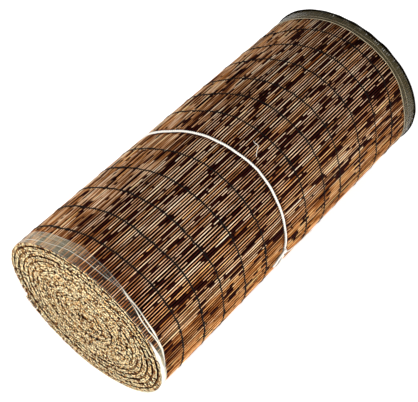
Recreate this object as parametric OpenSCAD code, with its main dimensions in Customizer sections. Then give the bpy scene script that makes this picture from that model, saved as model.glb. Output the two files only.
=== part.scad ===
// Roll of reed screening lying on its side: one long mat of reeds wound up tight, sewn with rows of
// dark thread, bound with film round both ends and tied round the middle with a white string.
// +X runs along the stems, from the near end to the far end. The roll lies on z = 0.

/* [Roll] */
// Length of the stems, which is the length of the roll
mat_height = 1000; // [800:10:2000]
// Width of the roll as it lies
roll_width = 452; // [430:1:600]
// Height of the roll as it lies, pressed a little oval by its own weight
roll_height = 390; // [340:1:410]
// Angle from the level side up to the mat's free edge, which lies low on the far side
free_edge_angle = -35; // [-60:1:-20]
// Diameter of the hole that is left down the middle
core_d = 12; // [8:1:40]

/* [Mat] */
// Thickness of the mat, measured from one turn to the next at the sides
layer = 14.5; // [10:0.5:24]
// Width of the slope down which the mat's free edge falls to the turn below
edge_run = 10; // [5:1:18]
// Width of the crack that shows between two turns at the ends
crack_w = 1.8; // [0.8:0.1:3]
// Depth of the crack between two turns, where the stems stand clear of each other
crack_depth = 12; // [2:1:40]

/* [Stitching] */
// Thickness of the thread, which sinks into the reeds as it pulls them together
thread_d = 2.4; // [1:0.1:4]

/* [String] */
// Thickness of the string round the middle, which sinks into the reeds too
string_d = 5; // [3:0.5:8]
// Stitch row that the string covers, counted from the near end
string_row = 6; // [2:1:11]
// Length of the string's free stretch, where it leaves the edge and meets the turn below
string_bridge = 60; // [30:5:75]

/* [Film] */
// Width of the clear film that is wound round each end
film_w = 45; // [20:1:55]
// Thickness of the film's turns together
film_t = 1; // [0.5:0.1:2]
// Length of the film's free stretch, where it leaves the edge and meets the turn below
film_bridge = 60; // [30:5:75]

/* [Hidden] */

row_count = 12;
row_pitch = mat_height / (row_count + 1);
string_x = row_x(string_row);

// Clearance between a thread, string or film and the seat that is pressed into the reeds
seat_gap = 0.1;
// How far a tool that cuts a seat stands out past the mat
clear = 20;
// Steps of the outline round the outer turn, which put a flat between two of them on the floor
outline_steps = 70;
// Steps of the crack in the first turn: a turn four times as far out has twice as many
first_turn_steps = 11;

// The mat's outside is a spiral with the same oval shape in every turn. A place on it is given in
// turns from the middle: each turn adds one layer at the sides, and a little less above and below.
edge_reach = roll_width / 2 + layer * (turns_back(0) + turns_back(180)) / 2;
squash = roll_height / (2 * edge_reach - layer * (turns_back(90) + turns_back(-90)));
last_turn = edge_reach / layer;
first_turn = core_d / 2 / layer;

// The roll lies still where its weight is right above the place that it touches the floor. The spiral
// moves both a little to one side, and the oval turns until they meet.
floor_reach = edge_reach - layer * turns_back(-90);
floor_shift = edge_reach * layer / (2 * PI * floor_reach);
weight_shift = layer * sin(free_edge_angle) / PI;
lie_angle = atan((floor_shift - weight_shift) / (floor_reach / squash - squash * floor_reach));

mat_outline = outline(0, edge_run);
roll_low = min([for (p = mat_outline) p.y]);
roll_mid = (min([for (p = mat_outline) p.x]) + max([for (p = mat_outline) p.x])) / 2;

// Part of a turn that lies between the free edge and a direction, going back along the mat
function turns_back(angle) = let (d = free_edge_angle - angle) d / 360 - floor(d / 360);

// Place of a stitch row along the roll, whose middle is x = 0
function row_x(row) = row * row_pitch - mat_height / 2;

// Point of the spiral at a number of turns from the middle, moved out by a distance
function spiral_point(turn, out) =
    let (angle = free_edge_angle + 360 * (turn - last_turn),
         x = (layer * turn + out) * cos(angle),
         y = (squash * layer * turn + out) * sin(angle))
    [x * cos(lie_angle) - y * sin(lie_angle), x * sin(lie_angle) + y * cos(lie_angle)];

// Outer turn of the mat, moved out by a distance, closed by a slope from the free edge to the turn below
function outline(out, run) =
    let (foot = last_turn - 1 + run / (2 * PI * edge_reach))
    [for (i = [0:outline_steps]) spiral_point(foot + (last_turn - foot) * i / outline_steps, out)];

// One side of the crack between the turns, from the hole in the middle to the foot of the free edge. Its
// steps per turn grow with the square root of the turn, so the steps' number grows with the turn's power 1.5.
function crack_side(out) =
    let (start = pow(first_turn, 1.5),
         end = pow(last_turn - 1 + edge_run / (2 * PI * edge_reach), 1.5),
         steps = ceil(first_turn_steps * (end - start) / 1.5))
    [for (i = [0:steps]) spiral_point(pow(start + (end - start) * i / steps, 2 / 3), out)];

function reversed(list) = [for (i = [len(list) - 1:-1:0]) list[i]];

// Gives a flat shape across the roll its length along it, from x on
module along_roll(x, length) {
    translate([x, -roll_mid, -roll_low])
        rotate([90, 0, 90])
            linear_extrude(length)
                children();
}

// Band round the outer turn, between two distances from its outside
module band_shape(inside, outside, run) {
    difference() {
        polygon(outline(outside, run));
        polygon(outline(inside, run));
    }
}

// Seat that a thread, string or film has pressed into the reeds
module seat(x, width, depth) {
    along_roll(x, width)
        band_shape(-depth, clear, edge_run);
}

// Crack between the turns, open at an end of the roll
module end_crack(x) {
    along_roll(x, crack_depth)
        polygon(concat(crack_side(crack_w / 2), reversed(crack_side(-crack_w / 2))));
}

// How deep a stitch row lies: the one under the string is pressed in further
function row_depth(row) = row == string_row ? string_d : 0;

module reed_mat() {
    color("peru")
        difference() {
            along_roll(-mat_height / 2, mat_height)
                polygon(mat_outline);
            translate([-mat_height / 2 - clear, -roll_mid, -roll_low])
                rotate([0, 90, 0])
                    cylinder(d = core_d, h = mat_height + 2 * clear, $fn = 48);
            end_crack(-mat_height / 2);
            end_crack(mat_height / 2 - crack_depth);
            for (row = [1:row_count])
                seat(row_x(row) - thread_d / 2, thread_d, row_depth(row) + thread_d);
            seat(string_x - string_d / 2, string_d, string_d);
            seat(-mat_height / 2, film_w, film_t);
            seat(mat_height / 2 - film_w, film_w, film_t);
        }
}

module stitch_row(row) {
    color("black")
        along_roll(row_x(row) - thread_d / 2 + seat_gap, thread_d - 2 * seat_gap)
            band_shape(seat_gap - thread_d - row_depth(row), -row_depth(row), edge_run);
}

module tie_string() {
    color("white")
        along_roll(string_x - string_d / 2 + seat_gap, string_d - 2 * seat_gap)
            band_shape(seat_gap - string_d, 0, string_bridge);
}

module end_film(x) {
    color("lightgray", 0.4)
        along_roll(x, film_w - seat_gap)
            band_shape(seat_gap - film_t, 0, film_bridge);
}

module near_end_film() {
    end_film(-mat_height / 2);
}

module far_end_film() {
    end_film(mat_height / 2 - film_w + seat_gap);
}

reed_mat();
near_end_film();
far_end_film();
tie_string();
stitch_row(1);  // stitch_row_01
stitch_row(2);  // stitch_row_02
stitch_row(3);  // stitch_row_03
stitch_row(4);  // stitch_row_04
stitch_row(5);  // stitch_row_05
stitch_row(6);  // stitch_row_06
stitch_row(7);  // stitch_row_07
stitch_row(8);  // stitch_row_08
stitch_row(9);  // stitch_row_09
stitch_row(10);  // stitch_row_10
stitch_row(11);  // stitch_row_11
stitch_row(12);  // stitch_row_12
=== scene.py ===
"""Reed screening roll, dressed for rendering: reeds, stitching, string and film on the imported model."""
import functools
import math

import bpy
import numpy as np
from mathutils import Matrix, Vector


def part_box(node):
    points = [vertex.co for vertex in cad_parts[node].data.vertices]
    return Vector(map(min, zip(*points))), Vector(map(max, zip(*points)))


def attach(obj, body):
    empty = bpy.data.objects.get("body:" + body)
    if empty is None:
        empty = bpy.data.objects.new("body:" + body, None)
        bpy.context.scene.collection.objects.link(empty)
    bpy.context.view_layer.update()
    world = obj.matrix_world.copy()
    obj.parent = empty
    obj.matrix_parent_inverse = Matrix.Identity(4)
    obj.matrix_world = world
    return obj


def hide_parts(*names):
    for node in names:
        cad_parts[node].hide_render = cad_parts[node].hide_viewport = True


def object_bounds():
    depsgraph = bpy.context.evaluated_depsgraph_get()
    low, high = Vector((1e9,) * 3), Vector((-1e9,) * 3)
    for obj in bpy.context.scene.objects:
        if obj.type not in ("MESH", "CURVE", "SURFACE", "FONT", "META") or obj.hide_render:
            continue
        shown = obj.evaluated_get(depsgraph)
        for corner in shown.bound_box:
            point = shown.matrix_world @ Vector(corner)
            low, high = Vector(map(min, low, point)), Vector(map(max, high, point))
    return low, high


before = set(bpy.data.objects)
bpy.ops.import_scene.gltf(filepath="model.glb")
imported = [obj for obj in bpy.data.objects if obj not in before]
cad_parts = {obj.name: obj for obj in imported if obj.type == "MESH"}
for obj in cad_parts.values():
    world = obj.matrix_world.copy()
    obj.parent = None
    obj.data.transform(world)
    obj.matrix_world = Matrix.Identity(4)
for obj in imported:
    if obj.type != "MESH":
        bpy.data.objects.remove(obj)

CAD_BOUNDS = [list(corner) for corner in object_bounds()]

bl_info = {
    "name": "Reed screening roll",
    "version": (1, 0, 0),
    "blender": (4, 5, 0),
    "location": "3D View > Sidebar > Reed roll",
    "description": "Builds the reeds, stitching, string and film of a rolled reed screen",
    "category": "Object",
}

# The roll's own sizes, in metres and degrees, as the part's source has them
ROLL_WIDTH = 0.452
ROLL_HEIGHT = 0.390
LAYER = 0.0145
EDGE_ANGLE = -35.0
EDGE_RUN = 0.010
STRING_BRIDGE = 0.060
FILM_BRIDGE = 0.060
BORE_RADIUS = 0.006
ROW_COUNT = 12
STRING_ROW = 6

# How deep the hidden reeds lie under the mat's outside and how far they stand back from its ends, the depths of the
# three rows of cut reeds in a layer, and how long their stubs are, in metres
UNDER_REEDS_TOP = 0.0034
UNDER_REEDS_BACK = 0.016
BED_TOP = 0.0098
BED_BACK = 0.0085
CUT_ROWS = (0.0023, 0.0069, 0.0114)
STUB_LENGTH = 0.013
STRING_TWIST = 0.016
FILM_THICKNESS = 0.00018
# Points of the outer turn and of the whole winding, and sides of the round pieces
OUTLINE_STEPS = 4000
WINDING_STEPS = 40000
OUTER_SIDES = 8
INNER_SIDES = 6
CORD_SIDES = 6

MAT_LOW, MAT_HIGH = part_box("reed_mat")
NEAR_END, FAR_END = MAT_LOW.x, MAT_HIGH.x


def turns_back(angle):
    """Part of a turn between the mat's free edge and a direction in degrees, going back along the mat."""
    return (EDGE_ANGLE - angle) / 360 % 1


EDGE_REACH = ROLL_WIDTH / 2 + LAYER * (turns_back(0) + turns_back(180)) / 2
SQUASH = ROLL_HEIGHT / (2 * EDGE_REACH - LAYER * (turns_back(90) + turns_back(-90)))
LAST_TURN = EDGE_REACH / LAYER
FIRST_TURN = BORE_RADIUS / LAYER
FLOOR_REACH = EDGE_REACH - LAYER * turns_back(-90)
FLOOR_SHIFT = EDGE_REACH * LAYER / (2 * math.pi * FLOOR_REACH)
WEIGHT_SHIFT = LAYER * math.sin(math.radians(EDGE_ANGLE)) / math.pi
LIE_ANGLE = math.atan((FLOOR_SHIFT - WEIGHT_SHIFT) / (FLOOR_REACH / SQUASH - SQUASH * FLOOR_REACH))


def wound(turn):
    """The mat's outside across the roll, around the middle of the winding.

    A place is given in turns from the middle: each turn gains one layer at the sides and the squashed
    layer above and below, so every turn is the same oval. The whole is tipped by the lying angle."""
    angle = np.radians(EDGE_ANGLE) + 2 * np.pi * (turn - LAST_TURN)
    across = LAYER * turn * np.cos(angle)
    up = SQUASH * LAYER * turn * np.sin(angle)
    turned = [across * math.cos(LIE_ANGLE) - up * math.sin(LIE_ANGLE),
              across * math.sin(LIE_ANGLE) + up * math.cos(LIE_ANGLE)]
    return np.stack(turned, -1)


def outer_turn(run):
    """Outer turn of the mat, from where a piece meets the turn below to the free edge."""
    foot = LAST_TURN - 1 + run / (2 * math.pi * EDGE_REACH)
    return wound(np.linspace(foot, LAST_TURN, OUTLINE_STEPS))


OUTLINE = outer_turn(EDGE_RUN)
MIDDLE = np.array([-(OUTLINE[:, 0].min() + OUTLINE[:, 0].max()) / 2, -OUTLINE[:, 1].min()])


class Path:
    """A line across the roll with its length along it, so that pieces follow the winding.

    A place is (x along the roll, s along the line, out at a right angle to both)."""

    def __init__(self, points, closed):
        points = points + MIDDLE
        self.points = np.concatenate([points, points[:1]]) if closed else points
        steps = np.linalg.norm(np.diff(self.points, axis=0), axis=1)
        self.reach = np.concatenate([[0], np.cumsum(steps)])
        self.length = self.reach[-1]
        self.closed = closed

    def across(self, s):
        """Point at a length along the line: its two coordinates are read off between the known points."""
        s = np.mod(s, self.length) if self.closed else s
        return np.stack([np.interp(s, self.reach, self.points[:, k]) for k in (0, 1)], -1)

    def outward(self, s):
        """Direction out of the line: the chord of a few millimetres, turned by a quarter."""
        chord = self.across(s + 0.002) - self.across(s - 0.002)
        chord /= np.linalg.norm(chord, axis=-1, keepdims=True)
        return np.stack([chord[..., 1], -chord[..., 0]], -1)

    def place(self, x, s, out):
        """Points in the model's frame, for arrays of x, s and out that fit each other."""
        x, s, out = np.broadcast_arrays(x, s, out)
        flat = self.across(s) + out[..., None] * self.outward(s)
        return np.concatenate([x[..., None], flat], -1)

    def angle(self, s):
        """Direction of a place as seen from the middle of the roll, in degrees from the +Y side."""
        p = self.across(s) - MIDDLE
        return np.degrees(np.arctan2(p[..., 1], p[..., 0]))


OUTSIDE = Path(OUTLINE, closed=True)
OVER_STRING = Path(outer_turn(STRING_BRIDGE), closed=True)
OVER_FILM = Path(outer_turn(FILM_BRIDGE), closed=True)
INSIDE = Path(wound(np.linspace(FIRST_TURN + 1, LAST_TURN, WINDING_STEPS)), closed=False)


def draws(name):
    """A seeded generator for one kind of piece, so that every run gives the same reeds."""
    return np.random.default_rng(sum(ord(letter) * (place + 7) for place, letter in enumerate(name)))


def waves(seed_name, s, around, finest, x=0.0, shortest=1.0, count=9):
    """Smooth unevenness between about -1 and 1: a sum of sine waves of random direction and phase. Each has a whole
    number of waves round a path whose length is around, up to finest, and is at least shortest metres long along x."""
    rng = draws(seed_name)
    total = 0.0
    for _ in range(count):
        rounds = rng.integers(1, finest + 1)
        along = rng.uniform(-1, 1) / shortest
        total = total + np.sin(2 * np.pi * (rounds * s / around + along * x) + rng.uniform(0, 2 * np.pi))
    return total / math.sqrt(count)


def near_step(value, low, high):
    """Rises smoothly from 0 at low to 1 at high."""
    t = np.clip((value - low) / (high - low), 0, 1)
    return t * t * (3 - 2 * t)


def arc(angle, start, full, fade, end):
    """1 from the direction full to fade, 0 before start and after end, and smooth between them, in degrees."""
    return near_step(angle, start, full) * (1 - near_step(angle, fade, end))


def drawn_line(places):
    """A line round an end: its place along the roll in metres, as a function of the direction in degrees. It runs
    through the places that it is given in millimetres."""
    angles, x = np.array(sorted(places.items()), float).T
    return lambda angle: np.interp(np.asarray(angle) % 360, angles, x / 1000, period=360)


# Pieces of the mesh ------------------------------------------------------------------------------------------


def grid_quads(shape, close_rows=False):
    """Quads between neighbours on a grid of points numbered row by row, for one grid or a stack of them. Every row
    closes on itself, and the last row joins the first on demand."""
    index = np.arange(math.prod(shape)).reshape(shape)
    across = np.roll(index, -1, axis=-1)
    quads = np.stack([index, across, np.roll(across, -1, axis=-2), np.roll(index, -1, axis=-2)], -1)
    return quads if close_rows else quads[..., :-1, :, :]


def new_piece(name, points, faces, materials, slot, marks, *replaced):
    """Makes one piece from its points and its faces and rides it on the roll.

    faces is a list of (corner numbers, material number, smooth), marks are attributes with a number per point, and
    replaced names the nodes that the piece stands for."""
    mesh = bpy.data.meshes.new(name)
    points = points.reshape(-1, 3)
    corners = [numbers.reshape(-1, numbers.shape[-1]) for numbers, _, _ in faces]
    counts = [len(numbers) for numbers in corners]
    sides = np.repeat([numbers.shape[1] for numbers in corners], counts)
    mesh.vertices.add(len(points))
    mesh.vertices.foreach_set("co", points.astype(np.float32).ravel())
    mesh.loops.add(int(sides.sum()))
    mesh.loops.foreach_set("vertex_index", np.concatenate([c.ravel() for c in corners]).astype(np.int32))
    mesh.polygons.add(len(sides))
    mesh.polygons.foreach_set("loop_start", (np.cumsum(sides) - sides).astype(np.int32))
    mesh.polygons.foreach_set("material_index", np.repeat([m for _, m, _ in faces], counts).astype(np.int32))
    mesh.polygons.foreach_set("use_smooth", np.repeat([smooth for _, _, smooth in faces], counts))
    for key, values in dict(marks).items():
        layer = mesh.attributes.new(key, "FLOAT", "POINT")
        layer.data.foreach_set("value", np.ascontiguousarray(np.broadcast_to(values, points.shape[:1]), np.float32))
    mesh.update(calc_edges=True)
    if mesh.validate():
        raise RuntimeError(f"the mesh of {name} has faces that don't hold together")
    for material in materials:
        mesh.materials.append(material)
    piece = bpy.data.objects.new(name, mesh)
    bpy.context.scene.collection.objects.link(piece)
    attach(piece, "root")
    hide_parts(*replaced)
    return piece


def on_floor(points):
    """Points of something soft that the roll lies on: what would be under the floor is pressed flat on it."""
    points[..., 2] = np.maximum(points[..., 2], CAD_BOUNDS[0][2])
    return points


def new_band(name, points, material, slot, marks, node):
    """A soft piece that closes on itself round the roll, from rings of points, and lies flat on the floor."""
    faces = [(grid_quads(points.shape[:-1], close_rows=True), 0, True)]
    return new_piece(name, on_floor(points), faces, [material], slot, marks, node)


def reed_tubes(path, x, s, out, radius, sides):
    """Reeds as tubes: every ring is a circle of its radius around (x, s, out), square to the roll. Arrays are
    (reeds, rings), and the points are (reeds, rings, sides)."""
    around = np.linspace(0, 2 * np.pi, sides, endpoint=False)
    x, s, out, radius = (v[..., None] for v in np.broadcast_arrays(x, s, out, radius))
    return path.place(x, s + radius * np.sin(around), out + radius * np.cos(around))


def tube_faces(shape, bands, caps):
    """Side faces and the two end caps of a stack of tubes. bands and caps hold their material numbers, and the
    bands of the cut ends, with a number above 0, are flat."""
    quads = grid_quads(shape)
    index = np.arange(math.prod(shape)).reshape(shape)
    faces = [(quads[:, bands == number], int(number), bool(number == 0)) for number in np.unique(bands)]
    return faces + [(index[:, 0, ::-1], caps[0], False), (index[:, -1], caps[1], False)]


def strand(path, x, s, out, wide, high):
    """A cord that lies along a closed path: an oval of its width along the roll and its height out of it is
    carried from place to place and closes on itself."""
    around = np.linspace(0, 2 * np.pi, CORD_SIDES, endpoint=False)
    x, s, out, wide, high = (v[..., None] for v in np.broadcast_arrays(x, s, out, wide, high))
    return path.place(x + wide * np.cos(around), s, out + high * np.sin(around))


def tube_along(points, radius):
    """A tube of one radius along points in space: each ring stands at a right angle to the line through its
    neighbours, and the first and last rings are the flat ends."""
    ahead = np.gradient(points, axis=0)
    ahead /= np.linalg.norm(ahead, axis=1)[:, None]
    crossing = [0.21, 0.13, 0.97]  # a direction in which no loose end runs
    side = np.cross(ahead, crossing)
    side /= np.linalg.norm(side, axis=1)[:, None]
    other = np.cross(ahead, side)
    around = np.linspace(0, 2 * np.pi, CORD_SIDES, endpoint=False)
    ring = side[:, None] * np.cos(around)[:, None] + other[:, None] * np.sin(around)[:, None]
    return points[:, None] + radius * ring


# Materials ---------------------------------------------------------------------------------------------------


# Settings that several nodes share
SCALE_AND_ADD = {"operation": "MULTIPLY_ADD"}
SMOOTH = {"interpolation_type": "SMOOTHSTEP"}
MIXED = {"data_type": "RGBA"}
MULTIPLIED = {"data_type": "RGBA", "blend_type": "MULTIPLY"}
WHITE = (1.0, 1.0, 1.0, 1.0)


def linear(code):
    """Linear colour, with full opacity, of an sRGB hex value."""
    parts = [int(code[k:k + 2], 16) / 255 for k in (1, 3, 5)]
    return tuple(c / 12.92 if c <= 0.04045 else ((c + 0.055) / 1.055) ** 2.4 for c in parts) + (1.0,)


def shaded(colour, amount):
    """A colour made darker or lighter by a factor."""
    return tuple(min(c * amount, 1.0) for c in colour[:3]) + (1.0,)


def put(tree, kind, inputs=(), settings=(), output=0, stops=()):
    """Adds a shader node of a kind and gives back one of its outputs. inputs holds a value or another node's output
    for each socket, settings are the node's own, and stops are those of a colour ramp, as (place, colour)."""
    node = tree.nodes.new("ShaderNode" + kind)
    for key, value in dict(settings).items():
        setattr(node, key, value)
    for key, value in dict(inputs).items():
        if isinstance(value, bpy.types.NodeSocket):
            tree.links.new(value, node.inputs[key])
        else:
            node.inputs[key].default_value = value
    if stops:
        elements = node.color_ramp.elements
        while len(elements) < len(stops):
            elements.new(0.5)
        for element, (place, colour) in zip(elements, stops):
            element.position, element.color = place, colour
    return node.outputs[output] if node.outputs else None


def emptied(tree):
    """Clears a tree of nodes and gives the function that adds a node to it."""
    tree.nodes.clear()
    return functools.partial(put, tree)


def new_material(name):
    """The material of that name without its nodes, and the function that adds a node to it."""
    material = bpy.data.materials.get(name) or bpy.data.materials.new(name)
    material.use_nodes = True
    return material, emptied(material.node_tree)


def colours():
    """The colours that the user can change."""
    return bpy.context.scene.reed_colours


def sizes():
    """The sizes that the user can change."""
    return bpy.context.scene.reed_sizes


def grain_of(add, scale, detail):
    """Noise on the model's own coordinates. Scale says how many grains there are to a metre along each axis."""
    place = add("TexCoord", output="Object")
    sized = add("Mapping", {"Vector": place, "Scale": scale})
    return add("TexNoise", {"Vector": sized, "Scale": 1.0, "Detail": detail})


def dried_reed_skin():
    """Common reed, dried in the sun. The skin shows straw-coloured leaf sheaths with bare maroon stem between their
    torn edges and fine grooves along it. Light and shade are painted on: each reed is lighter along its top, darker
    down its sides and near-black low in the gaps. Little gloss."""
    material, add = new_material("dried_reed_skin")
    tint = colours()
    tone, hue, crown, reed, around, leafy = (
        add("Attribute", settings={"attribute_name": key}, output="Fac")
        for key in ("tone", "hue", "crown", "reed", "around", "leafy"))
    place = add("TexCoord", output="Object")
    along = add("SeparateXYZ", {"Vector": place}, output="X")

    def spots(x, y, scale, detail, start=0.0):
        """Noise over two lengths. Scale says how many spots there are to a metre along each."""
        flat = add("CombineXYZ", {"X": x, "Y": y})
        sized = add("Mapping", {"Vector": flat, "Location": (0, start, 0), "Scale": scale + (1.0,)})
        return add("TexNoise", {"Vector": sized, "Scale": 1.0, "Detail": detail}, {"noise_dimensions": "2D"})

    # Torn edges of the sheaths: stretches about 45 mm long, elsewhere on each reed and slanted at their ends,
    # and more of them where neighbours are bare together, in patches of 30 by 12 mm
    slanted = add("Math", {0: crown, 1: 0.005, 2: along}, SCALE_AND_ADD)
    own = add("Math", {0: reed, 1: 3.0, 2: slanted}, SCALE_AND_ADD)
    patches = spots(along, around, (32.0, 85.0), 1.0)
    torn = add("Math", {0: patches, 1: 0.03, 2: spots(own, reed, (12.0, 900.0), 2.0)}, SCALE_AND_ADD)
    torn = add("Math", {0: leafy, 1: -0.008, 2: torn}, SCALE_AND_ADD)
    bare = add("MapRange", {
        "Value": torn, "From Min": 0.412, "From Max": 0.426, "To Min": 1.0, "To Max": 0.0}, SMOOTH)
    # Each sheath has its own shade, over about 80 mm, and grooves 0.8 mm wide and 40 mm long
    streak = grain_of(add, (25.0, 1200.0, 1200.0), 3.0)
    lengths = spots(own, reed, (12.0, 900.0), 2.0, 450.0)
    shade = add("Math", {0: lengths, 1: 1.2, 2: tone}, SCALE_AND_ADD)
    shade = add("Math", {0: streak, 1: 0.24, 2: shade}, SCALE_AND_ADD)
    # Painted light and shade: each reed is painted lighter along its top and darker down its sides, by its crown.
    # Where the sheaths lap over the gaps, their folds take its place: they run on from reed to reed, 2.5 mm apart and
    # about 60 mm long
    painted_top_light = add("MapRange", {
        "Value": crown, "From Min": 0.84, "From Max": 0.99, "To Min": -0.74, "To Max": -0.18}, SMOOTH)
    skewed = add("Math", {0: around, 1: 1.5, 2: along}, SCALE_AND_ADD)
    folds = spots(skewed, around, (8.0, 400.0), 1.0, 900.0)
    folds = add("Math", {0: folds, 1: 1.25, 2: -1.10}, SCALE_AND_ADD)
    raised = add("Mix", {0: leafy, 2: painted_top_light, 3: folds}, {"data_type": "FLOAT"})
    shade = add("Math", {0: raised, 1: shade}, {"operation": "ADD"})
    sheath = add("ValToRGB", {"Fac": shade}, stops=[
        (0.0, shaded(tint.dark_reed, 1.2)), (0.34, tint.brown_reed), (0.56, tint.tan_reed),
        (0.80, tint.pale_reed), (1.0, shaded(tint.pale_reed, 1.25))])
    # Bare stem with painted shade and highlight: near-black down its sides, lighter along its top
    stem = add("ValToRGB", {"Fac": crown}, stops=[
        (0.5, shaded(tint.dark_reed, 0.2)), (1.0, shaded(tint.dark_reed, 1.7))])
    # Painted shade: each reed is near-black low on its sides and darker everywhere but along its top, as the shade in
    # the gaps; it is weaker where the sheaths lap over the gaps
    gap_shade = add("ValToRGB", {"Fac": crown}, stops=[
        (0.48, linear("#020000")), (0.72, linear("#643e2e")), (0.87, WHITE)])
    skin = add("Mix", {0: bare, 6: sheath, 7: stem}, MIXED, 2)
    warmth = add("Math", {0: leafy, 1: 0.36, 2: hue}, SCALE_AND_ADD)
    warm = add("Mix", {0: warmth, 6: skin, 7: tint.warm_tint}, MULTIPLIED, 2)
    gap_shade_share = add("MapRange", {"Value": leafy, "To Min": 1.0, "To Max": 0.42}, SMOOTH)
    darkened = add("Mix", {0: gap_shade_share, 6: warm, 7: gap_shade}, MULTIPLIED, 2)
    bump = add("Bump", {"Height": streak, "Strength": 0.3, "Distance": 0.0004})
    wax = add("BsdfPrincipled", {
        "Base Color": darkened, "Roughness": 0.55, "IOR": 1.5, "Specular IOR Level": 0.05, "Normal": bump})
    add("OutputMaterial", {"Surface": wax})
    return material


def cut_reed():
    """The same reed where it was cut across. The straw-coloured wall is dry and open, so it has no gloss."""
    material, add = new_material("cut_reed")
    # The hue of a cut end is its shade; on the turns inside it also holds their painted light and shade by row
    hue = add("Attribute", settings={"attribute_name": "hue"}, output="Fac")
    # Torn fibres: about 1 mm, drawn 2 mm apart so that they show
    grain = grain_of(add, (500.0, 500.0, 500.0), 2.0)
    shade = add("Math", {0: grain, 1: 1.8, 2: -0.92}, SCALE_AND_ADD)
    shade = add("Math", {0: hue, 1: shade}, {"operation": "ADD"})
    straw = add("ValToRGB", {"Fac": shade}, stops=[
        (0.0, linear("#3e180a")), (0.25, linear("#bc7838")), (0.5, colours().cut_straw), (0.75, linear("#ffeec0"))])
    bump = add("Bump", {"Height": grain, "Strength": 0.5, "Distance": 0.0005})
    wall = add("BsdfPrincipled", {
        "Base Color": straw, "Roughness": 0.85, "IOR": 1.5, "Specular IOR Level": 0.2, "Normal": bump})
    add("OutputMaterial", {"Surface": wall})
    return material


def reed_lining():
    """The inside of a reed: a thin papery lining, brown and without gloss, painted darker as the shade in the hole."""
    material, add = new_material("reed_lining")
    # Shreds of the lining: about 2 mm
    grain = grain_of(add, (500.0, 500.0, 500.0), 2.0)
    brown = add("ValToRGB", {"Fac": grain}, stops=[(0.3, linear("#1c0c04")), (0.7, linear("#543014"))])
    wall = add("BsdfPrincipled", {"Base Color": brown, "Roughness": 0.9})
    add("OutputMaterial", {"Surface": wall})
    return material


def shaded_reed_bed():
    """Reeds deep in the mat, which only show through the gaps, painted in the shade they lie in: dark brown stem
    sides along the roll, and at the ends the darker cut faces of those that stand back."""
    material, add = new_material("shaded_reed_bed")
    place = add("TexCoord", output="Object")
    # Cut faces: about 5 mm
    cells = add("TexVoronoi", {"Vector": place, "Scale": 190.0}, output="Distance")
    faces = add("ValToRGB", {"Fac": cells}, stops=[(0.15, linear("#a86c30")), (0.5, linear("#4a240c"))])
    normal = add("NewGeometry", output="Normal")
    lengthways = add("SeparateXYZ", {"Vector": normal}, output="X")
    at_end = add("Math", {0: lengthways}, {"operation": "ABSOLUTE"})
    brown = add("Mix", {0: at_end, 6: linear("#0c0503"), 7: faces}, MIXED, 2)
    bed = add("BsdfPrincipled", {"Base Color": brown, "Roughness": 0.9, "Specular IOR Level": 0.1})
    add("OutputMaterial", {"Surface": bed})
    return material


def waxed_twine():
    """Twisted polyester twine, dyed black and waxed: near-black with a soft sheen on its strands."""
    material, add = new_material("waxed_polyester_twine")
    place = add("TexCoord", output="Object")
    # Strands: about 1.5 mm apart
    lay = add("TexWave", {"Vector": place, "Scale": 330.0, "Distortion": 1.0},
              {"bands_direction": "DIAGONAL"}, "Fac")
    black = add("ValToRGB", {"Fac": lay}, stops=[(0.0, linear("#020101")), (1.0, colours().thread)])
    bump = add("Bump", {"Height": lay, "Strength": 0.4, "Distance": 0.0004})
    twine = add("BsdfPrincipled", {
        "Base Color": black, "Roughness": 0.6, "IOR": 1.5, "Specular IOR Level": 0.08, "Normal": bump})
    add("OutputMaterial", {"Surface": twine})
    return material


def spun_string():
    """White polypropylene string, spun from fine fibres: bright, with a little sheen and no sharp gloss."""
    material, add = new_material("spun_polypropylene_string")
    # Fibres: too fine to show, drawn about 0.7 mm apart
    fibre = grain_of(add, (1400.0, 1400.0, 1400.0), 2.0)
    white = add("ValToRGB", {"Fac": fibre}, stops=[
        (0.3, shaded(colours().string, 0.8)), (0.7, colours().string)])
    bump = add("Bump", {"Height": fibre, "Strength": 0.4, "Distance": 0.0003})
    yarn = add("BsdfPrincipled", {
        "Base Color": white, "Roughness": 0.6, "Sheen Weight": 0.3, "Normal": bump})
    add("OutputMaterial", {"Surface": yarn})
    return material


def stretch_film(state, gloss, roughness):
    """Polyethylene stretch film, a few turns thick. It lets the reeds show through and hazes where it is
    wrinkled or gathered, which the piece's haze says, and its gloss gives streaks of light along the wrinkles.
    The state, such as clear_film or dusty_film, is the name of its colour."""
    material, add = new_material("polyethylene_" + state)
    haze = add("Attribute", settings={"attribute_name": "haze"}, output="Fac")
    # Wrinkles: about 4 mm along the roll and 60 mm round it
    creases = grain_of(add, (250.0, 18.0, 18.0), 3.0)
    uneven = add("MapRange", {
        "Value": creases, "From Min": 0.35, "From Max": 0.7, "To Min": 0.6, "To Max": 1.6})
    clouded = add("Math", {0: haze, 1: uneven}, {"operation": "MULTIPLY", "use_clamp": True})
    bump = add("Bump", {"Height": creases, "Strength": 0.7, "Distance": 0.001})
    film = add("BsdfPrincipled", {
        "Base Color": getattr(colours(), state), "Roughness": roughness, "IOR": 1.51, "Specular IOR Level": gloss,
        "Alpha": clouded, "Normal": bump})
    add("OutputMaterial", {"Surface": film})
    return material


def seen_directly(add, *kinds):
    """1 where a ray is of one of these kinds, and else 0."""
    seen = 0.0
    for kind in kinds:
        ray = add("LightPath", output=f"Is {kind} Ray")
        seen = add("Math", {0: seen, 1: ray}, {"operation": "MAXIMUM"})
    return seen


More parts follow.
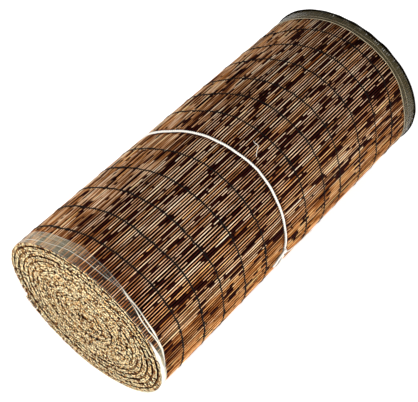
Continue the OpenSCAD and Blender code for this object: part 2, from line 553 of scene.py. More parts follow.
def matt_white_paint():
    """Matt white paint, for the floor. To the camera it adds a plain glow, so that it is white and keeps a soft
    shadow."""
    material, add = new_material("matt_white_paint")
    seen = seen_directly(add, "Camera", "Glossy", "Transmission")
    glow = add("Math", {0: seen, 1: 0.72}, {"operation": "MULTIPLY"})
    paint = add("BsdfDiffuse", {"Color": linear("#e4e4e4")})
    light = add("Emission", {"Color": WHITE, "Strength": glow})
    both = add("AddShader", {0: paint, 1: light})
    add("OutputMaterial", {"Surface": both})
    return material


# The mat -----------------------------------------------------------------------------------------------------


def pack_row(length, rng, width, spread, gap):
    """Reeds side by side: widths vary by the spread and gaps by a half, and the row is stretched to fill the
    length exactly. Returns the middle of each reed along the row and its width."""
    widths, gaps = (mean * (1 + share * rng.uniform(-1, 1, int(1.3 * length / (width + gap)) + 2))
                    for mean, share in ((width, spread), (gap, 0.5)))
    ends = np.cumsum(widths + gaps)
    count = int(np.searchsorted(ends, length))
    stretch = length / ends[count - 1]
    return ((ends - gaps - widths / 2) * stretch)[:count], widths[:count]


# How far the rows leave their flat planes, in millimetres at a direction in degrees: where the mat was pulled tight
# over the top they lie further along the roll, and at the sides they fall back. The gain is what is added for a row
# at the reach, in metres, from the roll's middle, and taken off on the near side of it.
ROW_BOW = drawn_line({
    0: -22, 20: -28, 40: -30, 50: -29, 60: -20, 70: -11, 80: -3, 92: 2.5, 105: 6, 118: 6, 130: 5.5, 140: 3.5, 150: -2,
    160: -10, 172: -20, 185: -22, 230: -8, 300: -8})
ROW_BOW_GAIN = drawn_line({
    0: -5, 35: -8, 50: -10, 60: -3, 70: -1, 80: 2.5, 92: 5.5, 105: 7.5, 118: 7, 130: 4.5, 140: 3, 150: -3, 160: -9,
    172: -12, 200: -8, 260: 0, 320: 0})
ROW_GAIN_REACH = 0.42
# How far each row as a whole is off its even place, in metres
ROW_SHIFTS = (0.005, 0.0005, -0.0055, -0.004, -0.002, -0.004, 0.0035, 0.003, -0.006, 0.0055, 0.0025, -0.0025)
# Place of the string along the roll, in millimetres
STRING_LINE = drawn_line({
    0: -70, 36: -73.5, 47: -73.5, 55: -69, 61: -63, 73: -51, 86: -43, 100: -38.5, 112: -34.5, 126: -31.5, 139: -36,
    152: -43, 165: -53, 179: -63, 186: -68, 210: -70, 260: -60, 320: -60})


def sway(s, x):
    """How far reeds are pushed aside along the mat, in metres: neighbours move together."""
    return 0.0016 * waves("sway", s, OUTSIDE.length, 5, x, 0.7)


def string_x(s, path=OUTSIDE):
    """Place of the string along the roll."""
    return STRING_LINE(path.angle(s)) + 0.0005 * waves("string", s, path.length, 24)


def row_x(row, s):
    """Place of a stitch row along the roll: a little uneven, each row in its own way."""
    if row == STRING_ROW:
        return string_x(s)
    low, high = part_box(f"stitch_row_{row:02d}")
    middle = (low.x + high.x) / 2
    angle = OUTSIDE.angle(s)
    bowed = ROW_BOW(angle) + ROW_BOW_GAIN(angle) * middle / ROW_GAIN_REACH
    uneven = 0.0016 * waves(f"row {row}", s, OUTSIDE.length, 9)
    kinks = 0.0007 * waves(f"kinks {row}", s, OUTSIDE.length, 70, count=14)
    return middle + ROW_SHIFTS[row - 1] + bowed + uneven + kinks


def outer_row():
    """The reeds of the outer turn: their places, widths and how deep each has sunk."""
    rng = draws("outer row")
    size = sizes()
    s, width = pack_row(OUTSIDE.length, rng, size.reed_width, size.reed_spread, size.reed_gap)
    sunk = 0.0007 * rng.random(len(s)) ** 2 + 0.0014 * (rng.random(len(s)) < 0.04)
    return s, width, sunk


def pressed(x, s):
    """How far string and film press the reeds in, in metres: a narrow dip with a bell shape under the string,
    and a shallow one that fades in under each film."""
    string_dip, string_reach, film_dip = 0.0032, 0.009, 0.0008
    from_end = np.minimum(x - NEAR_END, FAR_END - x)
    under_string = string_dip * np.exp(-((x - string_x(s)) / string_reach) ** 2)
    return under_string + film_dip * (1 - near_step(from_end, 0.03, 0.07))


def painted_warm_light(s, x):
    """Painted warm light, from 0 to 1: where the reeds are made lighter and a deeper gold, low on the side that
    faces the camera, and most near it.
    """
    angle = OUTSIDE.angle(s) % 360
    return arc(angle, 120, 175, 230, 300) * (0.40 - 0.3 * x)


def leafiness(s, x):
    """Where the leaf sheaths lap over the gaps, from 0 to 1: on the sides of the roll, with a ragged limit, in a few
    islands on its top, and under the near end's film."""
    angle = OUTSIDE.angle(s) % 360
    on_top = arc(angle, 50, 94, 137, 198)
    ragged = waves("leaves", s, OUTSIDE.length, 60, x, 0.06, 16)
    islands = near_step(waves("islands", s, OUTSIDE.length, 90, x, 0.05, 16), 0.9, 1.3)
    under_film = near_step(-x, 0.435, 0.46) * (1 - near_step(angle, 80, 120))
    return np.clip(1 - on_top + 1.8 * on_top * (1 - on_top) * ragged + 0.8 * islands + under_film, 0, 1)


def build_outer_reeds():
    """Reeds of the outer turn. Each is a tube that changes a little in width along the roll, with three knuckles
    on each side of the string, a dip under it, and hollow cut ends."""
    rng = draws("outer reeds")
    s, width, sunk = outer_row()
    count = len(s)
    row = s[:, None]
    string_at = string_x(row)
    end_gap = 0.0005 + 0.0022 * rng.random((count, 2)) ** 2
    first, last = NEAR_END + end_gap[:, :1], FAR_END - end_gap[:, 1:]
    by_thirds = np.array([1, 3, 5]) / 6
    joint = np.array([-0.004, 0.0, 0.004])
    dip = np.array([-0.016, -0.006, 0.0, 0.006, 0.016])
    clear = 0.02

    def knuckles(low, high):
        """Rings of the three knuckles between two places, each within its own third."""
        middle = low + (high - low) * (by_thirds + 0.13 * rng.uniform(-1, 1, (count, 3)))
        return (middle[:, :, None] + joint).reshape(count, -1)

    x = np.concatenate([first, knuckles(first, string_at - clear), string_at + dip,
                        knuckles(string_at + clear, last), last], 1)
    swelling = np.concatenate([[0], np.tile([0, 1, 0], 3), 0 * dip, np.tile([0, 1, 0], 3), [0]])
    swelling = swelling * (0.05 + 0.12 * rng.random(x.shape))
    # Painted shadow: the reeds in the dip under and beside the string are made darker
    painted_string_shadow = np.concatenate([np.zeros(10), [0, 1, 1, 1, 0], np.zeros(10)])

    patches = waves("patches", row, OUTSIDE.length, 14, x, 0.25, 14)
    tone = 0.355 + 0.06 * rng.normal(size=(count, 1)) + 0.05 * patches
    under_film = 1 - near_step(x, NEAR_END + 0.025, NEAR_END + 0.07)
    # Painted warm light: the lower side is made lighter and a deeper gold
    warm_light = painted_warm_light(row, x)
    tone = np.clip(tone + 0.11 * warm_light - 1.2 * swelling - 0.3 * painted_string_shadow - 0.17 * under_film, 0, 1)
    hue = 0.20 + 0.25 * rng.normal(size=(count, 1)) + 0.12 * rng.normal(size=x.shape)
    hue = np.clip(hue + warm_light, 0, 1)
    radius = width[:, None] / 2 * (1 + 0.08 * rng.uniform(-1, 1, (count, 1)) * x / FAR_END) * (1 + swelling)
    at = row + sway(row, x)
    out = -width[:, None] / 2 - sunk[:, None] - pressed(x, row)
    out = out + 0.0003 * waves("depth", row, OUTSIDE.length, 90, x, 0.3, 12)

    # The cut ends: a rim, the wall of the hole and its floor
    hole = radius[:, [0, -1]] * rng.uniform(0.42, 0.6, (count, 2))
    hole_depth = 0.006
    x, radius, at, out, tone, hue = (np.pad(v, ((0, 0), (2, 2)), "edge") for v in (x, radius, at, out, tone, hue))
    x[:, 0] += hole_depth
    x[:, -1] -= hole_depth
    radius[:, :2], radius[:, -2:] = hole[:, :1], hole[:, 1:]
    hue[:, :3] = hue[:, -3:] = cut_shades(rng, count)[:, None]
    bands = np.zeros(x.shape[1] - 1, int)
    bands[[1, -2]] = CUT
    bands[[0, -1]] = HOLLOW

    points = on_floor(reed_tubes(OUTSIDE, x, at, out, radius, OUTER_SIDES))
    turn = np.linspace(0, 2 * np.pi, OUTER_SIDES, endpoint=False)
    marks = {
        "crown": np.broadcast_to(np.cos(turn), points.shape[:3]).ravel(),
        "reed": np.repeat(rng.random(count), x.shape[1] * OUTER_SIDES),
        "around": (at[..., None] + radius[..., None] * np.sin(turn)).ravel(),
    }
    for key, values in (("tone", tone), ("hue", hue), ("leafy", leafiness(at, x))):
        marks[key] = np.repeat(values.ravel(), OUTER_SIDES)
    faces = tube_faces(points.shape[:3], bands, (HOLLOW, HOLLOW))
    return new_piece("outer_reeds", points, faces, reed_materials(), "reed", marks, "reed_mat")


def cut_shades(rng, count):
    """Shade of each cut end, from 0 for rotten brown to 1 for fresh straw: one in five is dark."""
    dark = rng.random(count) < 0.2
    return np.where(dark, rng.uniform(0.0, 0.2, count), rng.uniform(0.45, 1.1, count))


# Numbers of the reeds' materials in their faces
SKIN, CUT, HOLLOW = range(3)


def reed_materials():
    """Materials of the reeds, in the order of their numbers."""
    return [dried_reed_skin(), cut_reed(), reed_lining()]


def build_under_reeds():
    """Second row of reeds, sunk into the gaps of the first: plain tubes with a few rings."""
    rng = draws("under reeds")
    places = outer_row()[0]
    following = np.append(places[1:], places[0] + OUTSIDE.length)
    s = (places + following)[:, None] / 2
    half = sizes().reed_width * 0.55
    rings = 6
    low, high = NEAR_END + UNDER_REEDS_BACK, FAR_END - UNDER_REEDS_BACK
    x = np.linspace(low, high, rings) + 0.01 * rng.uniform(-1, 1, (len(s), rings))
    x[:, 0], x[:, -1] = low, high
    out = -UNDER_REEDS_TOP - half - 0.0004 * rng.random(x.shape) - pressed(x, s)
    points = reed_tubes(OUTSIDE, x, s + sway(s, x), out, half, INNER_SIDES)
    # Painted shade: a low tone and crown make these reeds near-black, as the shade deep in the gaps
    marks = {"tone": 0.15, "hue": 0.5, "crown": 0.22, "around": 0.0, "leafy": 0.0,
             "reed": np.repeat(rng.random(len(s)), rings * INNER_SIDES)}
    faces = tube_faces(points.shape[:3], np.full(rings - 1, SKIN), (SKIN, SKIN))
    return new_piece("under_reeds", points, faces, [dried_reed_skin()], "reed", marks, "reed_mat")


def build_reed_bed():
    """Inside of the roll behind the reeds that are made one by one: a closed ring with the bore through it."""
    around = 360
    s = np.linspace(0, OUTSIDE.length, around, endpoint=False)
    outer = OUTSIDE.across(s) - BED_TOP * OUTSIDE.outward(s)
    away = outer - MIDDLE
    bore = MIDDLE + BORE_RADIUS * away / np.linalg.norm(away, axis=1)[:, None]
    low, high = np.full((around, 1), NEAR_END + BED_BACK), np.full((around, 1), FAR_END - BED_BACK)
    corners = [(high, bore), (high, outer), (low, outer), (low, bore)]
    points = np.stack([np.concatenate(pair, 1) for pair in corners], 1)
    faces = [(grid_quads(points.shape[:2], close_rows=True), 0, False)]
    return new_piece("reed_bed", points, faces, [shaded_reed_bed()], "reed", (), "reed_mat")


def build_cut_ends(name, end, into):
    """Cut ends of the turns inside, three rows of reeds to a layer along the spiral. A hollow one is a short tube
    with a rim and a hole, a full one a short stub, and each stands back by a little that changes from turn to
    turn. into is 1 or -1, the way into the roll."""
    rng = draws(name)
    size = sizes()
    rows = []
    for depth in CUT_ROWS:
        # The first row stops where the outer turn's own reeds begin
        length = INSIDE.length - (2 * math.pi * EDGE_REACH * 0.93 if depth == CUT_ROWS[0] else 0.0)
        s, width = pack_row(length, rng, size.reed_width * 1.2, size.reed_spread, size.reed_gap * 0.15)
        rows.append((s, width, np.full(len(s), depth)))
    s, width, depth = (np.concatenate(parts) for parts in zip(*rows))
    count = len(s)
    stand = 0.0011 * waves(name + " turns", np.sqrt(s), math.sqrt(INSIDE.length), 14, count=12)
    inner = 1 - near_step(s / INSIDE.length, 0.3, 0.75)
    between = (depth == CUT_ROWS[2]) * (1 - 0.7 * inner)
    back = 0.0013 + stand + 0.0012 * rng.random(count) + 0.0025 * (rng.random(count) < 0.12) + 0.0034 * between
    face_x = end + into * np.clip(back, 0.0003, 0.0065)
    radius = width / 2 * rng.uniform(0.80, 1.04, count)
    s = s + 0.0006 * rng.uniform(-1, 1, count)
    out = -depth + (0.0005 + 0.0009 * inner) * rng.uniform(-1, 1, count)
    # Painted light and shade: the outer row of each layer is lighter and the set-back inner row darker, so that the
    # turns show as light and dark rings; the darkening fades towards the middle
    shade = cut_shades(rng, count) - 0.5 * between + 14.0 * (CUT_ROWS[1] - depth)
    own = rng.random(count)
    hollow = rng.random(count) < 0.47
    hole_depth = 0.005
    points, faces, marks, done = [], [], {"hue": [], "reed": []}, 0
    for kind in (True, False):
        pick = hollow == kind
        r, x = radius[pick], face_x[pick]
        deep = np.full(len(r), end + into * STUB_LENGTH)
        if kind:
            hole = r * rng.uniform(0.4, 0.62, len(r))
            rings, widths, bands = [x + into * hole_depth, x, x, deep], [hole, hole, r, r], [HOLLOW, CUT, SKIN]
        else:
            rings, widths, bands = [x, deep], [r, r], [SKIN]
        caps = (HOLLOW if kind else CUT, SKIN)
        x, r = np.stack(rings[::into], 1), np.stack(widths[::into], 1)
        part = reed_tubes(INSIDE, x, s[pick, None], out[pick, None], r, INNER_SIDES)
        faces += [(corners + done, number, smooth)
                  for corners, number, smooth in tube_faces(part.shape[:3], np.array(bands[::into]), caps[::into])]
        points.append(part.reshape(-1, 3))
        done += len(points[-1])
        for key, values in (("hue", shade), ("reed", own)):
            marks[key].append(np.repeat(values[pick], x.shape[1] * INNER_SIDES))
    marks = {key: np.concatenate(values) for key, values in marks.items()}
    # The stubs' sides get a middling crown, so they are painted darker, as shade between the cut ends
    marks |= {"tone": 0.4, "crown": 0.6, "around": 0.0, "leafy": 0.0}
    return new_piece(name, np.concatenate(points), faces, reed_materials(), "reed", marks, "reed_mat")


def reed_tops(s, x, reeds):
    """Height of the reeds' tops under a thread, a circle over each reed that is cut off low in the gaps, and how
    near the place is to a gap, from 0 over a reed to 1."""
    places, width, sunk = reeds
    s = np.mod(s - sway(s, x), OUTSIDE.length)
    order = np.searchsorted(places, s) % len(places)
    before = (order - 1) % len(places)
    to_next = (places[order] - s) % OUTSIDE.length
    to_last = (s - places[before]) % OUTSIDE.length
    nearest = np.where(to_next < to_last, order, before)
    off = np.minimum(to_next, to_last)
    r = width[nearest] / 2
    top = -sunk[nearest] - r + np.sqrt(np.maximum(r * r - off * off, 0.3 * r * r))
    return top, near_step(off / r, 0.5, 1.2)


def build_stitch_row(row, reeds):
    """One row of stitching: a twine that is drawn tight over every reed, and dips and knots between them."""
    steps = 5 * len(reeds[0])
    s = np.linspace(0, OUTSIDE.length, steps, endpoint=False)
    x = row_x(row, s)
    half = sizes().thread_width / 2
    top, gap = reed_tops(s, x, reeds)
    thick = half * (0.62 + 0.72 * gap + 0.12 * waves(f"thick {row}", s, OUTSIDE.length, 300, count=8))
    thick = thick + 0.6 * half * near_step(waves(f"knots {row}", s, OUTSIDE.length, 60, count=6), 1.3, 1.8)
    points = strand(OUTSIDE, x, s, top - pressed(x, s), thick, 0.55 * thick)
    node = f"stitch_row_{row:02d}"
    return new_band(node + "_twine", points, waxed_twine(), "dark_thread", (), node)


# String and film ---------------------------------------------------------------------------------------------


# Direction of the string's knot, in degrees from the +Y side
KNOT_ANGLE = 182.5


def build_tie_string():
    """The string: three strands wound round each other on a circle, laid round the roll."""
    steps, strands = 640, 3
    length = OVER_STRING.length
    s = np.linspace(0, length, steps, endpoint=False)
    twists = round(length / STRING_TWIST)
    half = sizes().string_width / 2
    offset, thick = half * 0.5, half * 0.56
    turned = 2 * np.pi * (twists * s / length + np.arange(strands)[:, None] / strands)
    x, out = string_x(s, OVER_STRING) + offset * np.cos(turned), -0.0010 + offset * np.sin(turned)
    points = strand(OVER_STRING, x, s, out, thick, thick)
    return new_band("tie_string_strands", points, spun_string(), "white_string", (), "tie_string")


def at_angle(angle):
    """Length along the outside at which it has that direction from the middle, in degrees from the +Y side."""
    s = np.linspace(0, OUTSIDE.length, 3600, endpoint=False)
    off = (OUTSIDE.angle(s)[:, None] - np.atleast_1d(angle) + 180) % 360 - 180
    return s[np.abs(off).argmin(0)]


def loose_end(places):
    """Line of a loose end laid on the mat, through places (x, degrees round, height over the mat). Each coordinate is
    a cubic that leaves and reaches a place along the line between its neighbours."""
    x, angle, height = np.array(places, float).T
    places = np.stack([x, at_angle(angle), height], 1)
    slopes = np.gradient(places, axis=0)
    steps = 36
    at = np.linspace(0, len(places) - 1, steps)
    k = np.minimum(at.astype(int), len(places) - 2)
    t = (at - k)[:, None]
    line = (2 * t ** 3 - 3 * t ** 2 + 1) * places[k] + (3 * t ** 2 - 2 * t ** 3) * places[k + 1]
    line = line + (t ** 3 - 2 * t ** 2 + t) * slopes[k] + (t ** 3 - t ** 2) * slopes[k + 1]
    return OUTSIDE.place(*line.T)


def build_string_ends():
    """What hangs on the string: its knot of two and a half turns, the two tails, and a loose fibre that lies on
    the reeds. Each is a round tube with its radius."""
    knot_s = at_angle(KNOT_ANGLE)[0]
    knot_x = string_x(knot_s)
    half = sizes().string_width / 2
    turn = np.linspace(0, 5 * np.pi, 60)
    loop = half * 1.15
    coil = OUTSIDE.place(knot_x + loop * np.cos(turn), knot_s + 0.0075 * (turn / turn[-1] - 0.5),
                         0.0004 + loop * np.sin(turn))
    long_tail = [(knot_x, 182, 0.002), (-0.060, 184, 0.003), (-0.034, 188, 0.002), (0.000, 189.5, 0.0032),
                 (0.030, 192, 0.0018), (0.054, 193.6, 0.0026)]
    short_tail = [(knot_x, 181, 0.002), (-0.078, 182.5, 0.0022), (-0.092, 184.5, 0.0020), (-0.108, 187.5, 0.0012)]
    fibre = [(0.017, 110, 0.0006), (0.013, 112, 0.004), (0.012, 115, 0.0045), (0.002, 116.5, 0.003),
             (-0.010, 119, 0.0004)]
    lines = {
        "string_knot": (coil, half * 0.62),
        "string_long_tail": (loose_end(long_tail), 0.0013),
        "string_short_tail": (loose_end(short_tail), 0.0032),
        "loose_fibre": (loose_end(fibre), 0.0006),
    }
    for name, (points, radius) in lines.items():
        tube = tube_along(points, radius)
        faces = tube_faces((1,) + tube.shape[:2], np.zeros(len(tube) - 1, int), (0, 0))
        new_piece(name, on_floor(tube), faces, [spun_string()], "white_string", (), "tie_string")


# Where the film's edges and its gathered cords lie, in millimetres along the roll at a direction in degrees
NEAR_FILM_EDGE = drawn_line({
    20: -462, 49: -462, 67: -460, 82: -456, 98: -460, 110: -463, 119: -468, 128: -473, 138: -474, 148: -476.5,
    158: -477, 164: -479, 170: -483, 176: -487, 200: -480, 260: -466, 330: -460})
NEAR_FILM_FOLD = drawn_line({
    20: -492, 41: -491, 66: -485, 80: -478, 95: -477, 110: -477, 120: -473, 130: -473.5, 150: -476.5, 158: -477,
    170: -485, 179: -496, 215: -494, 280: -486, 330: -490})
NEAR_FILM_BRANCH = drawn_line({
    20: -470, 60: -472, 90: -470, 119: -471, 132: -477, 142: -483, 150: -485, 158: -480, 166: -481, 190: -488,
    280: -474, 330: -470})
NEAR_FILM_LIP = drawn_line({20: -497, 120: -497, 150: -496.5, 165: -496, 179: -496, 240: -497, 330: -497})
FAR_FILM_EDGE = drawn_line({
    0: 450, 20: 445, 43: 447, 58: 455, 71: 462, 88: 467, 110: 467, 129: 468, 147: 463, 154: 458, 163: 452, 172: 448,
    240: 455, 330: 452})
FAR_FILM_FOLD = drawn_line({0: 468, 40: 460, 80: 474, 120: 480, 150: 474, 180: 462, 260: 474})
FAR_FILM_LIP = drawn_line({0: 496, 180: 496})


def film_haze(node, angle):
    """How much the film hides of the reeds on each of its two faces, from 0 to 1: most where it is wrinkled."""
    if node == "far_end_film":
        return 0.50 + 0.06 * np.sin(np.radians(3 * angle))
    upper = arc(angle, 20, 40, 60, 100)
    lower = arc(angle, 158, 186, 250, 300)
    hidden = near_step(angle, 230, 300) + 1 - near_step(angle, 0, 30)
    return 0.01 + 0.17 * upper + 0.80 * lower + 0.06 * hidden


def build_film(name, node, edge, material):
    """A band of film round one end: a sheet that lies on the reeds' tops with shallow creases across it, thin,
    with its inner edge on a drawn line. Its two faces are carried round together as a closed profile."""
    steps, columns = 520, 14
    s = np.linspace(0, OVER_FILM.length, steps, endpoint=False)[:, None]
    angle = OVER_FILM.angle(s) % 360
    low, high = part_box(node)
    end = low.x if low.x < 0 else high.x
    inner = edge(angle) + 0.0008 * waves(name + " edge", s, OVER_FILM.length, 24)
    x = end + (inner - end) * np.linspace(0, 1, columns)
    lift = 0.0001 + 0.00035 * waves(name + " creases", s, OVER_FILM.length, 40, x * 3, 0.02, 12)
    # Out along the upper face and back along the lower one, the other way about at the other end
    if end < 0:
        sheet = [(x[:, ::-1], lift[:, ::-1]), (x, lift - FILM_THICKNESS)]
    else:
        sheet = [(x, lift), (x[:, ::-1], lift[:, ::-1] - FILM_THICKNESS)]
    points = np.concatenate([OVER_FILM.place(along, s, out) for along, out in sheet], 1)
    marks = {"haze": np.repeat(film_haze(node, angle).ravel(), 2 * columns)}
    return new_band(name, points, material, "clear_film", marks, node)


def build_film_cords():
    """Where the film is gathered, it has rolled up into cords: flat ovals of changing width, laid round. On the near
    end they are also painted highlight, whiter and wider where their edges catch the light. Each has its line, its
    half width, how much it hides, and its material."""
    steps = 900
    s = np.linspace(0, OVER_FILM.length, steps, endpoint=False)
    angle = OVER_FILM.angle(s) % 360
    tight = arc(angle, 112, 132, 168, 190)
    low_side = arc(angle, 152, 165, 215, 260)
    upper = arc(angle, 30, 45, 105, 118)
    branch = arc(angle, 128, 140, 158, 168)
    gathered = stretch_film("gathered_film", 0.5, 0.25)
    dusty, darkened = stretch_film("dusty_gathered_film", 0.0, 0.9), stretch_film("dirty_film", 0.0, 0.9)
    # Painted highlight: the near film's cords are whiter, wider and less clear where their edges stand proud, most on
    # the lower side
    cords = {
        "near_film_cord": (NEAR_FILM_EDGE, 0.0006 + 0.0011 * tight, 0.2 + 0.55 * tight, gathered),
        "near_film_fold": (NEAR_FILM_FOLD, 0.0005 + 0.0001 * upper, 0.25 + 0.25 * upper, gathered),
        "near_film_branch": (NEAR_FILM_BRANCH, 0.0004 + 0.0010 * branch, 0.2 + 0.6 * branch, gathered),
        "near_film_lip": (NEAR_FILM_LIP, 0.0005 + 0.0040 * low_side, 0.15 + 0.9 * low_side, gathered),
        "far_film_cord": (FAR_FILM_EDGE, 0.0010, 0.75, dusty),
        "far_film_fold": (FAR_FILM_FOLD, 0.0006, 0.35, dusty),
        "far_film_lip": (FAR_FILM_LIP, 0.0036, 1.6, darkened),
    }
    for name, (line, half, haze, material) in cords.items():
        uneven = 1 + 0.25 * waves(name, s, OVER_FILM.length, 40)
        x = line(angle) + 0.0005 * waves(name + " line", s, OVER_FILM.length, 24)
        points = strand(OVER_FILM, x, s, 0.0004 + 0.3 * half, half * uneven, 0.45 * half + 0.0003)
        marks = {"haze": np.repeat(np.broadcast_to(haze, steps), CORD_SIDES)}
        node = "near_end_film" if line(0) < 0 else "far_end_film"
        new_band(name, points, material, "clear_film", marks, node)


# Properties, operators and panel -----------------------------------------------------------------------------


LENGTH = functools.partial(bpy.props.FloatProperty, unit="LENGTH", subtype="DISTANCE")
COLOUR = functools.partial(bpy.props.FloatVectorProperty, subtype="COLOR", size=4, min=0.0, max=1.0)


class ReedRollSizes(bpy.types.PropertyGroup):
    """Sizes of the reeds and of what holds them."""
    reed_width: LENGTH(
        name="Reed width", description="Mean thickness of a reed", default=0.0041, min=0.003, max=0.009)
    reed_spread: bpy.props.FloatProperty(
        name="Reed spread", description="How much the reeds differ in thickness", default=0.18, min=0.0, max=0.4,
        subtype="FACTOR")
    reed_gap: LENGTH(
        name="Reed gap", description="Space between two reeds of the outer turn", default=0.0019, min=0.0, max=0.003)
    thread_width: LENGTH(
        name="Thread width", description="Thickness of the stitching", default=0.0060, min=0.001, max=0.008)
    string_width: LENGTH(
        name="String width", description="Thickness of the string round the middle", default=0.0060, min=0.003,
        max=0.008)


class ReedRollColours(bpy.types.PropertyGroup):
    """Colours of the reeds and of what holds them."""
    pale_reed: COLOUR(name="Pale reed", description="Lightest leaf sheaths", default=linear("#f8dfc8"))
    tan_reed: COLOUR(name="Tan reed", description="Most of the leaf sheaths", default=linear("#c08d5c"))
    brown_reed: COLOUR(name="Brown reed", description="Stained sheaths", default=linear("#7a4a2a"))
    dark_reed: COLOUR(name="Dark reed", description="Bare stem between the sheaths", default=linear("#2c0904"))
    warm_tint: COLOUR(name="Warm tint", description="Multiplied into the redder reeds", default=linear("#f2cc96"))
    cut_straw: COLOUR(name="Cut straw", description="Cut ends of the reeds", default=linear("#ffce80"))
    thread: COLOUR(name="Thread", description="Stitching", default=linear("#0a0605"))
    string: COLOUR(name="String", description="String round the middle", default=linear("#f4f2ec"))
    clear_film: COLOUR(name="Clear film", description="Haze of the near end's film", default=linear("#d6d0b2"))
    # Gathered film of the near end, partly painted highlight
    gathered_film: COLOUR(
        name="Gathered film and highlight", description="Near end's film rolled up into a cord", default=linear("#e9e6da"))
    # Far film: its own olive tint, painted darker as the shade under it
    dusty_film: COLOUR(name="Shaded olive film", description="Film at the far end", default=linear("#4c462f"))
    dusty_gathered_film: COLOUR(
        name="Dusty gathered film", description="Gathered film and highlight at the far end", default=linear("#b8ab90"))
    # A near-black band of film folded over the far end's rim
    dirty_film: COLOUR(
        name="Near-black film edge", description="Film folded over the far end's rim", default=linear("#0e0b06"))


class BuildReeds(bpy.types.Operator):
    """Lay the reeds of the outer turn, the row below and the bed inside"""
    bl_idname = "reed_roll.build_reeds"
    bl_label = "Reeds"

    def execute(self, context):
        build_outer_reeds()
        build_under_reeds()
        build_reed_bed()
        return {"FINISHED"}


class BuildCutEnds(bpy.types.Operator):
    """Make the cut ends of the turns at both ends of the roll"""
    bl_idname = "reed_roll.build_cut_ends"
    bl_label = "Cut ends"

    def execute(self, context):
        build_cut_ends("near_cut_ends", NEAR_END, 1)
        build_cut_ends("far_cut_ends", FAR_END, -1)
        return {"FINISHED"}


class BuildStitching(bpy.types.Operator):
    """Stitch the rows of thread over the reeds"""
    bl_idname = "reed_roll.build_stitching"
    bl_label = "Stitching"

    def execute(self, context):
        reeds = outer_row()
        for row in range(1, ROW_COUNT + 1):
            build_stitch_row(row, reeds)
        return {"FINISHED"}


class BuildString(bpy.types.Operator):
    """Tie the string round the middle"""
    bl_idname = "reed_roll.build_string"
    bl_label = "String"

    def execute(self, context):
        build_tie_string()
        build_string_ends()
        return {"FINISHED"}


class BuildFilm(bpy.types.Operator):
    """Wrap the film round both ends"""
    bl_idname = "reed_roll.build_film"
    bl_label = "Film"

    def execute(self, context):
        build_film("near_film", "near_end_film", NEAR_FILM_EDGE, stretch_film("clear_film", 0.25, 0.25))
        # The far film's dark olive is partly painted shade
        build_film("far_film", "far_end_film", FAR_FILM_EDGE, stretch_film("dusty_film", 0.25, 0.25))
        build_film_cords()
        return {"FINISHED"}


def add_light(name, place, size, power, colour):
    """A square soft light that looks at the middle of the roll."""
    lamp = bpy.data.lights.new(name, "AREA")
    lamp.shape = "SQUARE"
    lamp.size = size
    lamp.energy = power
    lamp.color = colour
    light = bpy.data.objects.new(name, lamp)
    light.location = place
    light.rotation_euler = (light.location - Vector(LIGHT_AIM)).to_track_quat("Z", "Y").to_euler()
    bpy.context.scene.collection.objects.link(light)


# Half the floor's side and how far it lies below the roll, in metres, and the light from all round
FLOOR_HALF = 12.0
FLOOR_GAP = 0.0002
AMBIENT = 0.42
LIGHT_AIM = (0.0, 0.0, 0.2)
# The photograph's view: height above the level and turn about the vertical in degrees, place of the camera from the
# roll's middle in metres to its own right, up and back, and the lens in millimetres
CAMERA_HEIGHT = 49.70
CAMERA_TURN = 50.76
CAMERA_PLACE = (-0.0417, -0.0368, 2.458)
CAMERA_LENS = 86.81
CAMERA_SENSOR = 36.0
ROLL_MIDDLE = (0.0, 0.0, 0.195)


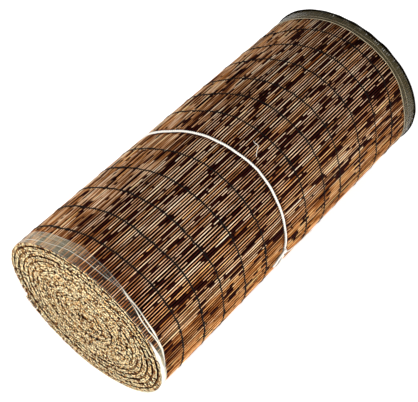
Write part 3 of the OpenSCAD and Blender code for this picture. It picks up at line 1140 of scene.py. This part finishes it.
class BuildStage(bpy.types.Operator):
    """Set the floor, the light and the camera"""
    bl_idname = "reed_roll.build_stage"
    bl_label = "Stage"

    def execute(self, context):
        scene = context.scene
        mesh = bpy.data.meshes.new("floor")
        far = FLOOR_HALF
        low = CAD_BOUNDS[0][2] - FLOOR_GAP
        mesh.from_pydata([(-far, -far, low), (far, -far, low), (far, far, low), (-far, far, low)], [], [(0, 1, 2, 3)])
        mesh.materials.append(matt_white_paint())
        floor = bpy.data.objects.new("floor", mesh)
        scene.collection.objects.link(floor)

        world = bpy.data.worlds.new("studio")
        scene.world = world
        world.use_nodes = True
        add = emptied(world.node_tree)
        seen = seen_directly(add, "Camera", "Transmission")
        strength = add("MapRange", {"Value": seen, "To Min": AMBIENT, "To Max": 1.0})
        sky = add("Background", {"Color": WHITE, "Strength": strength})
        add("OutputWorld", {"Surface": sky})

        add_light("key", (-2.2, 0.7, 1.9), 0.9, 72.0, (1.0, 0.98, 0.95))
        add_light("fill", (-0.6, -2.6, 0.6), 1.2, 66.0, (1.0, 0.97, 0.92))

        lens = bpy.data.cameras.new("camera")
        lens.sensor_width = CAMERA_SENSOR
        lens.lens = CAMERA_LENS
        camera = bpy.data.objects.new("camera", lens)
        camera.rotation_euler = (math.radians(90 - CAMERA_HEIGHT), 0.0, -math.radians(CAMERA_TURN))
        camera.location = Vector(ROLL_MIDDLE) + camera.rotation_euler.to_matrix() @ Vector(CAMERA_PLACE)
        scene.collection.objects.link(camera)
        scene.camera = camera
        scene.view_settings.view_transform = "Standard"
        return {"FINISHED"}


class ReedRollPanel(bpy.types.Panel):
    """Sizes, colours and steps of the reed roll"""
    bl_idname = "VIEW3D_PT_reed_roll"
    bl_label = "Reed roll"
    bl_space_type = "VIEW_3D"
    bl_region_type = "UI"
    bl_category = "Reed roll"

    def draw(self, context):
        for group in (context.scene.reed_sizes, context.scene.reed_colours):
            box = self.layout.box()
            for key in group.__annotations__:
                box.prop(group, key)
        for step in STEPS:
            self.layout.operator(step.bl_idname)


STEPS = (BuildReeds, BuildCutEnds, BuildStitching, BuildString, BuildFilm, BuildStage)
CLASSES = (ReedRollSizes, ReedRollColours) + STEPS + (ReedRollPanel,)


def register():
    for each in CLASSES:
        bpy.utils.register_class(each)
    bpy.types.Scene.reed_sizes = bpy.props.PointerProperty(type=ReedRollSizes)
    bpy.types.Scene.reed_colours = bpy.props.PointerProperty(type=ReedRollColours)


def unregister():
    del bpy.types.Scene.reed_sizes
    del bpy.types.Scene.reed_colours
    for each in reversed(CLASSES):
        bpy.utils.unregister_class(each)


def main():
    register()
    bpy.ops.reed_roll.build_reeds()
    bpy.ops.reed_roll.build_cut_ends()
    bpy.ops.reed_roll.build_stitching()
    bpy.ops.reed_roll.build_string()
    bpy.ops.reed_roll.build_film()
    bpy.ops.reed_roll.build_stage()


if __name__ == "__main__":
    main()
